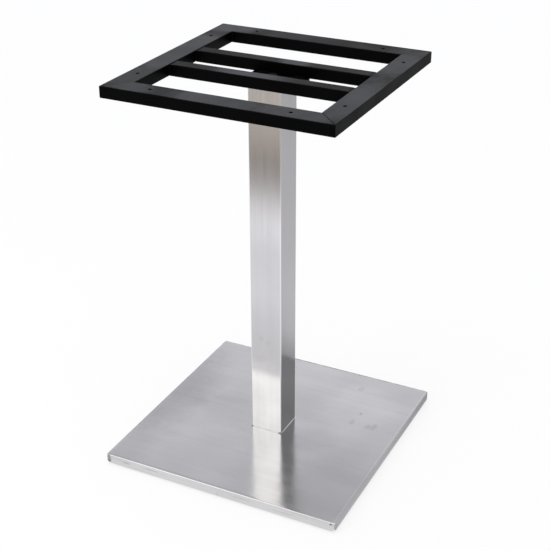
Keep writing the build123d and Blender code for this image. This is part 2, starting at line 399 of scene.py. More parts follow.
card("front_card", (4.4, 3.75), (-1.0, -2.125, CARD_LIFT), UP, "Y", FRONT_TONES)
card("back_card", (2.8, 3.2), (1.2, 1.84, CARD_LIFT), UP, "Y", BACK_TONES)
card("side_card", (1.6, 1.5), (1.8, -0.75, 2 * CARD_LIFT), UP, "X", SIDE_TONES)
card("skirt_card", (0.05, 0.70), (0.252, 0.0, CARD_LIFT), UP, "Y", SKIRT_TONES)
card("corner_card", (0.40, 0.50), (1.10, -0.54, 0.66), TOWARDS_OBJECT, "Z", CORNER_TONES)

# %% [markdown]
# ## Effects that several finishes share
#
# Brushed grain, cloudy handling marks and soft spots turn up in more than one finish. Copied into
# each material they would drift apart, so each is a node group with named inputs, built once and
# placed with its own values.


# %% Group helpers
def new_group(name, inputs, outputs):
    """A shader node group. Returns the group, the sockets it is given and the sockets it fills."""
    group = bpy.data.node_groups.new(name, "ShaderNodeTree")
    for label, value in inputs.items():
        kind = "NodeSocketFloat" if isinstance(value, float) else "NodeSocketVector"
        group.interface.new_socket(label, in_out="INPUT", socket_type=kind).default_value = value
    for label in outputs:
        group.interface.new_socket(label, in_out="OUTPUT", socket_type="NodeSocketFloat")
    given = group.nodes.new("NodeGroupInput").outputs
    filled = group.nodes.new("NodeGroupOutput").inputs
    return group, given, filled


def use_group(tree, group, inputs):
    made = tree.nodes.new("ShaderNodeGroup")
    made.node_tree = group
    fill_inputs(tree, made, inputs)
    return made.outputs


def vector_math(tree, operation, first, second):
    return add_node(tree, "VectorMath", {0: first, 1: second}, operation=operation).outputs[0]


def noise(tree, place, scale, detail):
    inputs = {"Vector": place, "Scale": scale, "Detail": detail}
    return add_node(tree, "TexNoise", inputs).outputs[0]


print("helpers for groups and noise ready")

# %% [markdown]
# ## Grain and clouds
#
# A belt brushes the steel in one direction and leaves hairlines, with broader streaks among them.
# Hands and powder leave soft clouds. Both could be drawn as pictures and laid on. Noise that is
# stretched along the brush, or left round for the clouds, is sharp at any distance, never repeats,
# and needs no file.

# %% Brushed grain and clouds
ORIGIN = (0.0, 0.0, 0.0)
GRAIN_LAYERS = {"Hairlines": (1.0, 2.0), "Streaks": (0.11, 3.0)}  # scale and detail
CLOUD_DETAIL = 4.0

grain_inputs = {"Place": ORIGIN, "Stretch": (1.0, 1.0, 1.0)}
grain_group, given, filled = new_group("brushed_grain", grain_inputs, GRAIN_LAYERS)
stretched = vector_math(grain_group, "MULTIPLY", given["Place"], given["Stretch"])
for name, (scale, detail) in GRAIN_LAYERS.items():
    grain_group.links.new(noise(grain_group, stretched, scale, detail), filled[name])

cloud_inputs = {"Place": ORIGIN, "Scale": 10.0, "Low": 0.4, "High": 0.6}
cloud_group, given, filled = new_group("clouds", cloud_inputs, ["Mask"])
cloud = noise(cloud_group, given["Place"], given["Scale"], CLOUD_DETAIL)
mask = remap(cloud_group, cloud, given["Low"], given["High"], 0.0, 1.0)
cloud_group.links.new(mask, filled["Mask"])
print("groups:", grain_group.name, cloud_group.name)

# %% [markdown]
# ## Soft spots
#
# Smudges, scuffs and dusty patches lie at certain places of the real object. The same spots also
# carry painted shade, painted highlights and painted sheen, each where the object shows that light
# or shade. They could be painted by hand. A spot that is given by its centre and half sizes in
# metres can be moved and resized by its numbers, and it rides on its piece. Noise makes its rim as
# ragged as is wanted.

# %% Soft spots
RIM_SCALE = 90.0
RIM_DETAIL = 3.0
RIM_RANGE = (0.2, 0.8)  # of the noise
SPOT_FADE = (0.40, 1.25)  # where a spot starts to fade and where it ends, in half sizes

spot_inputs = {"Place": ORIGIN, "Centre": ORIGIN, "Size": (0.01, 0.01, 0.01), "Ragged": 0.5}
spot_group, given, filled = new_group("soft_spot", spot_inputs, ["Mask"])
offset = vector_math(spot_group, "SUBTRACT", given["Place"], given["Centre"])
scaled = vector_math(spot_group, "DIVIDE", offset, given["Size"])
distance = add_node(spot_group, "VectorMath", {0: scaled}, operation="LENGTH").outputs["Value"]
rim = noise(spot_group, given["Place"], RIM_SCALE, RIM_DETAIL)
wobble = remap(spot_group, rim, *RIM_RANGE, -1.0, 1.0, smooth=False)
wobble = times(spot_group, wobble, given["Ragged"])
reach = math_node(spot_group, "ADD", distance, wobble)
spot_group.links.new(remap(spot_group, reach, *SPOT_FADE, 1.0, 0.0), filled["Mask"])


def strongest_mark(tree, place, marks, ragged):
    """The strongest of a list of soft spots, each with its centre, half sizes and strength."""
    spots = []
    for centre, size, strength in marks:
        inputs = {"Place": place, "Centre": centre, "Size": size, "Ragged": ragged}
        mask = use_group(tree, spot_group, inputs)["Mask"]
        spots.append(times(tree, mask, strength))
    return fold(tree, "MAXIMUM", *spots)


print("group:", spot_group.name)

# %% [markdown]
# ## Satin stainless
#
# The cover and the column are stainless sheet and tube with a fine brushed finish. It mirrors its
# surroundings, blurred by the grain. A mirror with one roughness looks like plastic foil, so the
# roughness and the tone follow the streaks of the brush, handling leaves cloudy patches, and marks
# dull it. On top of that, painted shades darken the colour and painted highlights lighten it, where
# the steel should mirror darker or brighter surroundings. Two bumps tilt the mirror: the lie of the
# sheet, given in metres, and the hairlines.

# %% Values of satin stainless
STEEL_COLOUR = (0.612, 0.606, 0.610)
# the colour that smudges, marks and painted shades darken the steel towards
SMUDGE_AND_SHADE_COLOUR = (0.150, 0.148, 0.150)
HIGHLIGHT_COLOUR = (0.820, 0.815, 0.820)  # painted highlight: a lighter colour laid where the steel should mirror brighter light
MARK_RAGGED = 0.5
SHADE_RAGGED = 0.10
HANDLED_CLOUDS = {"Scale": 9.0, "Low": 0.42, "High": 0.72}
HANDLED_TONE = 0.047  # shares of the smudge colour
STREAK_TONE = 0.034
STREAK_TONE_RANGE = (0.35, 0.75)  # of the noise
BAND_RANGE = (0.35, 0.65)
BAND_DETAIL = 2.0
STREAK_ROUGH_RANGE = (0.3, 0.7)
STREAK_ROUGH = (-0.015, 0.025)  # what streaks add to the roughness
HANDLED_ROUGH = 0.02
DULL_ROUGH = 0.18
HAIRLINE_STRENGTH = 0.10
HAIRLINE_DEPTH = 0.10 * MM
print("steel:", STEEL_COLOUR, "polished:", HIGHLIGHT_COLOUR)


# %% Surface helpers
def new_surface(name):
    """A material with its output wired to a principled shader."""
    made, tree = blank_finish(name)
    shader = add_node(tree, "BsdfPrincipled")
    add_node(tree, "OutputMaterial", {"Surface": shader.outputs["BSDF"]})
    return made, tree, shader


def mix_colour(tree, factor, first, second):
    inputs = {"Factor": factor, 6: first, 7: second}
    return add_node(tree, "Mix", inputs, data_type="RGBA").outputs[2]


def bump(tree, height, strength, distance, **under):
    """Tilts a surface by a height. A bump that lies under this one comes in as Normal."""
    inputs = {"Strength": strength, "Distance": distance, "Height": height, **under}
    return add_node(tree, "Bump", inputs).outputs[0]


def stretched_noise(tree, place, stretch, detail):
    return noise(tree, vector_math(tree, "MULTIPLY", place, stretch), 1.0, detail)


print("surface helpers ready")


# %% Satin stainless
def satin_stainless(name, look, highlight, height):
    """Brushed steel, with painted highlights wired by the third argument and its lie by height."""
    finish, tree, shader = new_surface(name)
    place = object_place(tree)
    grain = use_group(tree, grain_group, {"Place": place, "Stretch": look["grain"]})
    streaks = grain["Streaks"]
    handled = use_group(tree, cloud_group, {"Place": place, **HANDLED_CLOUDS})["Mask"]
    bands = stretched_noise(tree, place, look["bands"], BAND_DETAIL)
    marks = strongest_mark(tree, place, look["marks"], MARK_RAGGED)
    shades = strongest_mark(tree, place, look["shades"], SHADE_RAGGED)
    # marks, and painted shades that stand in for darker surroundings in the mirror
    marks_and_shades = math_node(tree, "MAXIMUM", marks, shades)
    tone = fold(
        tree, "ADD", marks_and_shades,
        times(tree, handled, HANDLED_TONE),
        remap(tree, bands, *BAND_RANGE, 0.0, look["band_depth"]),
        remap(tree, streaks, *STREAK_TONE_RANGE, 0.0, STREAK_TONE),
    )
    # painted highlights: lighter colour where the steel should mirror brighter light
    highlighted = highlight(tree, place)
    clean = mix_colour(tree, highlighted, colour(STEEL_COLOUR), colour(HIGHLIGHT_COLOUR))
    smooth, coarse = (look["roughness"] + step for step in STREAK_ROUGH)
    rough = fold(
        tree, "ADD", remap(tree, streaks, *STREAK_ROUGH_RANGE, smooth, coarse),
        times(tree, handled, HANDLED_ROUGH),
        times(tree, marks_and_shades, DULL_ROUGH),
    )
    lying = bump(tree, height(tree, place), 1.0, 1.0)
    lines = grain["Hairlines"]
    fill_inputs(tree, shader, {
        "Base Color": mix_colour(tree, tone, clean, colour(SMUDGE_AND_SHADE_COLOUR)),
        "Metallic": 1.0,
        "Roughness": rough,
        "Normal": bump(tree, lines, HAIRLINE_STRENGTH, HAIRLINE_DEPTH, Normal=lying),
    })
    print(name, "marks:", len(look["marks"]), "shades:", len(look["shades"]))
    return finish


print("steel maker ready")

# %% [markdown]
# ## Marks of the cover
#
# The cover has been welded, ground and handled, and shows it: small smudges on top and scuffs
# along the front skirt. Further rows darken the tops of the front corners, the left ones as painted
# shade on the rounded corner, spots on the right skirt and at the foot of the column, and lines
# along the left and back edges of the top. The broad soft shades are painted shade, and the lighter
# patches are painted highlights. They could come from one noise over the whole sheet, but then they
# would lie anywhere. Each has its own row here, so that it lies where it does on the real one.

# %% Marks of the cover
COVER_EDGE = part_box("base_cover")[1][0]
COVER_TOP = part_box("base_cover")[1][2]
SKIRT = -COVER_EDGE
TOP_DEPTH = 10 * MM
SKIRT_DEPTH = 4 * MM
COVER_MARKS_AND_SHADE = (  # centre and half sizes in metres, and strength
    ((0.133, 0.063, COVER_TOP), (0.005, 0.011, TOP_DEPTH), 0.14),
    ((0.165, 0.061, COVER_TOP), (0.0065, 0.010, TOP_DEPTH), 0.16),
    ((0.176, 0.063, COVER_TOP), (0.006, 0.012, TOP_DEPTH), 0.16),
    ((0.1375, 0.095, COVER_TOP), (0.003, 0.0048, TOP_DEPTH), 0.22),
    ((0.105, 0.176, COVER_TOP), (0.006, 0.010, TOP_DEPTH), 0.12),
    ((-0.186, SKIRT, 0.0125), (0.010, SKIRT_DEPTH, 0.0022), 0.26),
    ((-0.133, SKIRT, 0.0135), (0.018, SKIRT_DEPTH, 0.0016), 0.26),
    ((-0.108, SKIRT, 0.0120), (0.006, SKIRT_DEPTH, 0.0012), 0.22),
    ((0.002, SKIRT, 0.0070), (0.0012, SKIRT_DEPTH, 0.0050), 0.24),
    ((0.050, SKIRT, 0.0125), (0.022, SKIRT_DEPTH, 0.0014), 0.20),
    ((0.128, SKIRT, 0.0100), (0.026, SKIRT_DEPTH, 0.0016), 0.16),
    # painted shade: the rounded front left corner turns away from the light
    ((-0.2214, SKIRT, 0.0120), (0.0050, SKIRT_DEPTH, 0.0105), 0.60),
    ((-0.2210, SKIRT, 0.0075), (0.0054, SKIRT_DEPTH, 0.0050), 0.86),
    ((0.2175, SKIRT, 0.0165), (0.0038, SKIRT_DEPTH, 0.0028), 0.80),
    ((COVER_EDGE, -0.2190, 0.0115), (0.0026, 0.0024, 0.0090), 0.30),
    ((COVER_EDGE, 0.1500, 0.0045), (0.0040, 0.0900, 0.0030), 0.30),
    ((-0.0300, -0.0310, COVER_TOP), (0.0024, 0.0026, 0.0030), 0.60),
    ((0.0290, -0.0310, COVER_TOP), (0.0050, 0.0030, 0.0030), 0.50),
    ((-COVER_EDGE, 0.0, COVER_TOP), (0.0030, 0.2600, 0.0040), 0.58),
    ((0.0, COVER_EDGE, COVER_TOP), (0.2600, 0.0040, 0.0040), 0.62),
)
print("edge of the cover:", round(COVER_EDGE, 4), "m")

# %% Painted shades and painted highlights of the cover
# painted shade: darker stretches of what the top mirrors, and the shade round the foot of the
# column
COVER_PAINTED_SHADES = (
    ((-0.240, 0.010, COVER_TOP), (0.095, 0.190, TOP_DEPTH), 0.28),
    ((-0.196, 0.000, COVER_TOP), (0.070, 0.030, TOP_DEPTH), 0.24),
    ((-0.169, -0.114, COVER_TOP), (0.040, 0.020, TOP_DEPTH), 0.07),
    ((-0.215, -0.190, COVER_TOP), (0.060, 0.110, TOP_DEPTH), 0.12),
    ((0.175, -0.140, COVER_TOP), (0.080, 0.120, TOP_DEPTH), 0.14),
    ((-0.085, 0.000, COVER_TOP), (0.090, 0.055, TOP_DEPTH), 0.10),
    ((0.090, -0.020, COVER_TOP), (0.055, 0.045, TOP_DEPTH), 0.11),
)
# painted highlights: patches where the top mirrors brighter light
COVER_PAINTED_HIGHLIGHTS = (
    ((0.125, 0.105, COVER_TOP), (0.085, 0.085, TOP_DEPTH), 0.34),
    ((0.000, 0.190, COVER_TOP), (0.070, 0.060, TOP_DEPTH), 0.20),
)
print("shades:", len(COVER_PAINTED_SHADES), "rubbed patches:", len(COVER_PAINTED_HIGHLIGHTS))

# %% [markdown]
# ## Steel of the cover
#
# Lighter colour is painted as highlights on the corners, the right fold and the lighter patches, a
# thin lighter line lies beside the column, and the skirts are painted a little lighter than the
# top.
# At a fold the sheet rolls off, and a thin sheet is never quite flat. Waves could be pressed into
# the mesh, but the solids may not change, and bump given in metres tilts the mirror in the same
# way.


# %% Distances and edges
def plan_reach(tree, place):
    """How far a place lies from the two upright middle planes."""
    parts = split(tree, place)
    return [math_node(tree, "ABSOLUTE", parts[axis]) for axis in "XY"]


def towards(tree, value, edge, fade, strength):
    """Rises to a strength as a value comes up to an edge."""
    return remap(tree, value, edge - fade[0], edge - fade[1], 0.0, strength)


print("helpers for distances and edges ready")

# %% Painted highlights of the cover
COLUMN_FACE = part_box("column_tube")[1][0]
CORNER_FADE = (4 * MM, 2 * MM)  # distances from the edge between which the painted highlight sets in
CORNER_HIGHLIGHT = 0.7
RIGHT_EDGE_FADE = (6 * MM, 4 * MM)
RIGHT_EDGE_HIGHLIGHT = 0.35
TOP_FADE = (2 * MM, 1 * MM)  # below the top
SKIRT_HIGHLIGHT = 0.26
SEAM_FADE = (1.0 * MM, 1.6 * MM)  # beyond the faces of the column
SEAM_SOFT = 0.1 * MM


# Paints lighter colour as highlights: corners, right fold, skirts, lighter patches and a line
# beside the column.
def cover_highlights(tree, place):
    x, y = plan_reach(tree, place)
    parts = split(tree, place)
    inward = math_node(tree, "MINIMUM", x, y)
    corners = towards(tree, inward, COVER_EDGE, CORNER_FADE, CORNER_HIGHLIGHT)
    edge = towards(tree, parts["X"], COVER_EDGE, RIGHT_EDGE_FADE, RIGHT_EDGE_HIGHLIGHT)
    top = towards(tree, parts["Z"], COVER_TOP, TOP_FADE, 1.0)
    skirts = remap(tree, top, 0.0, 1.0, SKIRT_HIGHLIGHT, 0.0)
    near, far = (COLUMN_FACE + reach for reach in SEAM_FADE)
    seam = remap(tree, math_node(tree, "MAXIMUM", x, y), near, far, 1.0, 0.0)
    beside = remap(tree, x, COLUMN_FACE - SEAM_SOFT, COLUMN_FACE + SEAM_SOFT, 0.0, 1.0)
    lightened = strongest_mark(tree, place, COVER_PAINTED_HIGHLIGHTS, SHADE_RAGGED)
    edge_on_top = times(tree, edge, top)
    seam_beside = times(tree, seam, beside)
    return fold(tree, "MAXIMUM", corners, edge_on_top, seam_beside, lightened, skirts)


print("polish of corners and skirts:", CORNER_HIGHLIGHT, SKIRT_HIGHLIGHT)

# %% Steel of the cover
ALONG = 22.0  # cells of grain in a metre along the brush
ACROSS = 1600.0
SHEET_WAVES = (5.0, 7.0, 5.0)  # cells in a metre
SHEET_WAVE_DEPTH = 2.2 * MM
EDGE_ROLL = 8 * MM  # stretch beside a fold where the sheet rolls off
EDGE_ROLL_DEPTH = 0.26 * MM


def waves(tree, place, cells, depth):
    return times(tree, stretched_noise(tree, place, cells, 1.0), depth)


def cover_height(tree, place):
    reach = fold(tree, "MAXIMUM", *plan_reach(tree, place))
    roll = remap(tree, reach, COVER_EDGE - EDGE_ROLL, COVER_EDGE, 0.0, 1.0, smooth=False)
    fall = fold(tree, "MULTIPLY", roll, roll, EDGE_ROLL_DEPTH)
    return math_node(tree, "SUBTRACT", waves(tree, place, SHEET_WAVES, SHEET_WAVE_DEPTH), fall)


cover_look = {
    "roughness": 0.15,
    "grain": (ALONG, ACROSS, ACROSS),
    "bands": (6.0, 14.0, 14.0),  # cells in a metre
    "band_depth": 0.054,
    "marks": COVER_MARKS_AND_SHADE,
    "shades": COVER_PAINTED_SHADES,
}
cover_steel = satin_stainless("satin_stainless_cover", cover_look, cover_highlights, cover_height)

# %% [markdown]
# ## Steel of the column
#
# The column is square tube, brushed along its length, with its corners painted lighter as
# highlights. Drawn tube has long faint waves, and near its foot it swells by less than a
# millimetre, which lowers the end of the bright reflection there. This could be modelled, but the
# tube's solid stays as it is, so the waves and the swelling are bump as well. Painted shade darkens
# the left part of that reflection and a faint patch above it.

# %% Marks of the column
FRONT = -COLUMN_FACE
FACE_DEPTH = 10 * MM
COLUMN_MARKS_AND_SHADE = (
    ((-0.0295, FRONT, 0.0210), (0.0024, 0.0026, 0.0022), 0.45),
    ((0.0290, FRONT, 0.0205), (0.0045, 0.0030, 0.0020), 0.45),
    ((-0.009, FRONT, 0.213), (0.006, FACE_DEPTH, 0.006), 0.08),
    ((0.005, FRONT, 0.208), (0.004, FACE_DEPTH, 0.005), 0.07),
    # painted shade: a faint darker patch above the bright reflection at the foot
    ((-0.010, FRONT, 0.172), (0.014, FACE_DEPTH, 0.010), 0.05),
    ((0.010, FRONT, 0.560), (0.016, FACE_DEPTH, 0.012), 0.05),
)
# painted shade on the left part of the bright reflection at the foot
COLUMN_PAINTED_SHADES = (((-0.024, FRONT, 0.068), (0.030, FACE_DEPTH, 0.055), 0.12),)
print("front of the column:", round(FRONT, 4), "m")

# %% Steel of the column
TUBE_WAVES = (16.0, 16.0, 3.0)  # cells in a metre
TUBE_WAVE_DEPTH = 0.35 * MM
# lighter colour painted on the rounded corners as highlights
TUBE_CORNER_FADE = (2.4 * MM, 1.4 * MM)
TUBE_CORNER_HIGHLIGHT = 0.75
BULGE = 0.76 * MM
BULGE_PLACE = 116 * MM  # height of its middle
BULGE_REACH = 46 * MM
BULGE_SLANT = -0.12  # how much it drops across the front face


def column_highlights(tree, place):
    inward = fold(tree, "MINIMUM", *plan_reach(tree, place))
    return towards(tree, inward, COLUMN_FACE, TUBE_CORNER_FADE, TUBE_CORNER_HIGHLIGHT)


def column_height(tree, place):
    parts = split(tree, place)
    slant = times(tree, parts["X"], BULGE_SLANT)
    above = math_node(tree, "SUBTRACT", math_node(tree, "ADD", parts["Z"], slant), BULGE_PLACE)
    bulge = remap(tree, math_node(tree, "ABSOLUTE", above), 0.0, BULGE_REACH, BULGE, 0.0)
    return math_node(tree, "ADD", waves(tree, place, TUBE_WAVES, TUBE_WAVE_DEPTH), bulge)


column_look = {
    "roughness": 0.12,
    "grain": (ACROSS, ACROSS, ALONG),
    "bands": (45.0, 45.0, 4.0),
    "band_depth": 0.026,
    "marks": COLUMN_MARKS_AND_SHADE,
    "shades": COLUMN_PAINTED_SHADES,
}
column_steel = satin_stainless("satin_stainless_column", column_look, column_highlights, column_height)

# %% [markdown]
# ## Dust and painted sheen on the coat
#
# The tops of the rails and crossbars are not evenly black: dust and uneven powder grey them in
# patches, and so does their sheen, which is painted into the colour here. The patches end at the
# mitres, where one rail meets the next. One noise could not stop at a joint. So each rail has its
# own soft patches in plan, masked to the rail they lie on.

# %% Patches of dust and painted sheen
DUST_AND_SHEEN_OF_RAIL = {  # patches of dust and painted sheen in plan: centre, half sizes and strength
    "front": (
        ((-0.150, -0.180), (0.040, 0.050), 0.88), ((-0.045, -0.180), (0.030, 0.050), 0.98),
        ((0.000, -0.180), (0.085, 0.050), 0.96), ((0.125, -0.180), (0.085, 0.050), 0.85),
    ),
    "right": (
        ((0.180, -0.090), (0.050, 0.115), 1.08), ((0.180, 0.115), (0.050, 0.078), 1.08),
        ((0.190, 0.185), (0.035, 0.030), 0.80),
    ),
    "back": (
        ((-0.165, 0.186), (0.050, 0.040), 1.10), ((0.185, 0.186), (0.035, 0.040), 0.50),
    ),
    "left": (
        ((-0.180, 0.000), (0.050, 0.115), 1.20), ((-0.180, 0.085), (0.050, 0.040), 1.25),
        ((-0.180, 0.187), (0.050, 0.036), 1.35), ((-0.180, -0.140), (0.050, 0.060), 0.60),
    ),
}
DUST_AND_SHEEN_OF_CROSSBARS = (
    ((-0.020, -0.0435), (0.065, 0.030), 1.22),
    ((0.020, 0.0435), (0.030, 0.030), 1.18),
)
print("rails with haze:", len(DUST_AND_SHEEN_OF_RAIL))

# %% Dust and painted sheen on the coat
FRAME_TOP = cad_box[1][2]
DUST_AND_SHEEN_DEPTH = 10 * MM
DUST_AND_SHEEN_RAGGED = 0.18
MITRE_SOFT = 0.4 * MM
RAIL_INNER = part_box("front_crossbar")[1][0]  # the crossbars end at the inner sides of the rails


# The strongest patch of dust and painted sheen at a place.
def strongest_dust_and_sheen(tree, place, patches):
    marks = [
        ((*centre, FRAME_TOP), (*half_sizes, DUST_AND_SHEEN_DEPTH), strength)
        for centre, half_sizes, strength in patches
    ]
    return strongest_mark(tree, place, marks, DUST_AND_SHEEN_RAGGED)


def rail_sides(tree, place):
    """Masks of the four rails in plan, which meet on the mitres."""
    parts = split(tree, place)
    x, y = plan_reach(tree, place)
    front, left = (times(tree, parts[axis], -1.0) for axis in "YX")
    outward = {"front": (front, x), "right": (parts["X"], y),
               "back": (parts["Y"], x), "left": (left, y)}
    masks = {}
    for side, (out, along) in outward.items():
        past_mitre = math_node(tree, "SUBTRACT", out, along)
        within = remap(tree, past_mitre, -MITRE_SOFT, MITRE_SOFT, 0.0, 1.0)
        on_rail = remap(tree, out, RAIL_INNER - MITRE_SOFT, RAIL_INNER + MITRE_SOFT, 0.0, 1.0)
        masks[side] = times(tree, within, on_rail)
    return masks


print("inner side of the rails:", round(RAIL_INNER, 4), "m")

# %% [markdown]
# ## Black powder coat
#
# The frame is sprayed with powder and baked. The film is black with a low sheen, and its surface
# has the small hills that painters call orange peel. A grey colour would make it look like rubber.
# The sheen is what greys the faces that the light grazes. The shader's own specular level is kept
# low, so on the tops that sheen is painted into the colour as grey, together with the dust.

# %% Values of the coat
COAT_COLOUR = (0.0006, 0.0006, 0.0007)
# painted sheen and dust: the grey laid on upward faces
COAT_DUST_AND_SHEEN = (0.0455, 0.0465, 0.0505)
COAT_SPECULAR = 0.042
COAT_ROUGHNESS = (0.36, 0.46)
COAT_CLOUDS = {"Scale": 14.0, "Low": 0.34, "High": 0.68}
COAT_DUST = {"Scale": 80.0, "Low": 0.30, "High": 0.70}
CLOUD_DUST_AND_SHEEN = 0.03
DUST_LEFT = 0.86  # of the dust and painted sheen, where there is no dust
FACING_UP = (0.6, 0.95)  # upward part of the normal between which the dust and painted sheen set in
PEEL_SCALE = 420.0
PEEL_DETAIL = 2.0
PEEL_STRENGTH = 0.25
PEEL_DEPTH = 0.10 * MM
print("coat:", COAT_COLOUR, "haze:", COAT_DUST_AND_SHEEN)

# %% Black powder coat
black_coat, tree, shader = new_surface("black_powder_coat")
place = object_place(tree)
sides = rail_sides(tree, place)
patches_of_rails = [
    times(tree, strongest_dust_and_sheen(tree, place, patches), sides[side])
    for side, patches in DUST_AND_SHEEN_OF_RAIL.items()
]
# grey painted on the upward faces: dust, and painted sheen where the tops mirror the sky
dust_and_sheen = fold(tree, "MAXIMUM", strongest_dust_and_sheen(tree, place, DUST_AND_SHEEN_OF_CROSSBARS), *patches_of_rails)
clouds = use_group(tree, cloud_group, {"Place": place, **COAT_CLOUDS})["Mask"]
dusty = use_group(tree, cloud_group, {"Place": place, **COAT_DUST})["Mask"]
facing = split(tree, add_node(tree, "NewGeometry").outputs["Normal"])["Z"]
dust_and_sheen = fold(
    tree, "MULTIPLY",
    math_node(tree, "ADD", dust_and_sheen, times(tree, clouds, CLOUD_DUST_AND_SHEEN)),
    remap(tree, dusty, 0.0, 1.0, DUST_LEFT, 1.0),
    remap(tree, facing, *FACING_UP, 0.0, 1.0),
)
peel = noise(tree, place, PEEL_SCALE, PEEL_DETAIL)
fill_inputs(tree, shader, {
    "Base Color": mix_colour(tree, dust_and_sheen, colour(COAT_COLOUR), colour(COAT_DUST_AND_SHEEN)),
    "Roughness": remap(tree, clouds, 0.0, 1.0, *COAT_ROUGHNESS, smooth=False),
    "Specular IOR Level": COAT_SPECULAR,
    "Normal": bump(tree, peel, PEEL_STRENGTH, PEEL_DEPTH),
})
print("coat ready, with haze on rails and crossbars")

# %% [markdown]
# ## Finishes of the inner pieces
#
# Primer, black oxide, zinc and nylon cover what is seen from below or between the crossbars. Each
# could have its own network. They differ only in colour, in how much they shine and in the scale
# of their texture, so one function with those as its inputs makes all four.

# %% Values of the inner finishes
INNER_FINISHES = {  # two tones, two roughnesses, scale and depth of the texture, metal, specular
    "primed_steel": (
        (0.055, 0.055, 0.055), (0.040, 0.039, 0.038), (0.55, 0.75), (260.0, 0.15 * MM), 0.0, 0.5),
    "black_oxide": (
        (0.005, 0.005, 0.006), (0.003, 0.003, 0.0035), (0.42, 0.55), (700.0, 0.03 * MM), 0.0, 0.03),
    "zinc_plate": (
        (0.60, 0.61, 0.63), (0.50, 0.50, 0.49), (0.22, 0.38), (800.0, 0.02 * MM), 1.0, 0.5),
    "black_nylon": (
        (0.022, 0.022, 0.022), (0.016, 0.016, 0.016), (0.45, 0.60), (900.0, 0.04 * MM), 0.0, 0.5),
}
print("inner finishes:", len(INNER_FINISHES))

# %% Finishes of the inner pieces
DRIFT_CLOUDS = {"Scale": 40.0, "Low": 0.35, "High": 0.65}
TEXTURE_DETAIL = 4.0
TEXTURE_STRENGTH = 0.3


def plain_finish(name, first_tone, second_tone, roughness, texture, metallic, specular):
    """A finish that drifts between two tones and two roughnesses, with a fine texture."""
    finish, tree, shader = new_surface(name)
    place = object_place(tree)
    drift = use_group(tree, cloud_group, {"Place": place, **DRIFT_CLOUDS})["Mask"]
    scale, depth = texture
    grit = noise(tree, place, scale, TEXTURE_DETAIL)
    fill_inputs(tree, shader, {
        "Base Color": mix_colour(tree, drift, colour(first_tone), colour(second_tone)),
        "Metallic": metallic,
        "Roughness": remap(tree, drift, 0.0, 1.0, *roughness),
        "Specular IOR Level": specular,
        "Normal": bump(tree, grit, TEXTURE_STRENGTH, depth),
    })
    return finish


finish_of_slot = {name: plain_finish(name, *values) for name, values in INNER_FINISHES.items()}
finish_of_slot["satin_stainless"] = cover_steel
finish_of_slot["black_powder_coat"] = black_coat
print("finishes:", sorted(finish_of_slot))

# %% [markdown]
# ## Finishes on the solids
#
# Every solid names its finish in the record, as a drawing names the finish of each part. They could
# be set one by one, but a loop over the record leaves none out. Cover and column share one finish
# there. Their grain runs differently, so the column gets its own version.

# %% Finishes on the solids
for row in frame["record"]["subparts"]:
    solid = frame["nodes"][row["node"]]
    on_column = row["node"] == "column_tube"
    finish = column_steel if on_column else finish_of_slot[row["material_slot"]]
    for material_slot in solid.material_slots:
        material_slot.material = finish

# %% [markdown]
# ## Weld beads
#
# The rails, crossbars and plate of the real frame are joined by short arc welds, painted over with
# the rest, and small tacks hold the nuts under the foot. A bead is a row of overlapping drops. It
# could be painted on as bump, but it stands out of the surface, so it is modelled: a bar is cut
# into rings whose size goes up and down along it, and it lies in the corner between two pieces
# with part of it sunk in both.


# %% Joining shapes
def join_into(whole, part):
    """Adds a finished bmesh to another one."""
    carrier = bpy.data.meshes.new("carrier")
    part.to_mesh(carrier)
    part.free()
    whole.from_mesh(carrier)
    bpy.data.meshes.remove(carrier)


print("helper for joining ready")

# %% Weld bead
BEAD_SIDES = 10
RIPPLE = 2.4 * MM  # from one drop of a bead to the next
RINGS_PER_RIPPLE = 4
RIPPLE_DEPTH = 0.18  # of the radius
BEAD_END = 0.35  # of the radius, at the ends
shop_hand = random.Random(7)  # the unevenness of hand work, the same on every run


def add_bead(whole, start, end, radius):
    """A closed rippled bead from one point to another."""
    start, end = Vector(start), Vector(end)
    run = end - start
    rings = max(RINGS_PER_RIPPLE + 2, round(run.length / RIPPLE * RINGS_PER_RIPPLE))
    bead = bmesh.new()
    bmesh.ops.create_cone(
        bead, cap_ends=True, segments=BEAD_SIDES, radius1=radius, radius2=radius, depth=run.length)
    upright = [edge for edge in bead.edges if edge.verts[0].co.z * edge.verts[1].co.z < 0]
    bmesh.ops.subdivide_edges(bead, edges=upright, cuts=rings - 1)
    drift = shop_hand.uniform(0, math.pi)
    for vert in bead.verts:
        along = 2 * vert.co.z / run.length
        drops = 1 - RIPPLE_DEPTH * abs(math.sin(math.pi * vert.co.z / RIPPLE + drift))
        taper = max(BEAD_END, math.sqrt(max(0.0, 1 - along**4)))
        vert.co.xy = vert.co.xy * drops * taper
    turn = run.to_track_quat("Z", "Y").to_matrix().to_4x4()
    to_place = Matrix.Translation((start + end) / 2) @ turn
    bmesh.ops.transform(bead, matrix=to_place, verts=bead.verts)
    join_into(whole, bead)


def add_bead_about(whole, middle, along, length, radius):
    """A bead of a given length along an axis, about its middle."""
    half = Vector(along) * (length / 2)
    add_bead(whole, Vector(middle) - half, Vector(middle) + half, radius)


print("drops of a bead every", round(RIPPLE / MM, 1), "mm")

# %% [markdown]
# ## From a shape to a piece
#
# A new piece belongs to a body that may move, wears the finish of a slot, and may stand in for a
# plain solid. Setting this up by hand for each piece invites a slip, so one function does it all.
# Faces that meet at a flat angle are shaded as one curve, and sharper edges stay sharp.

# %% From a shape to a piece
SHARP_ANGLE = math.radians(38)


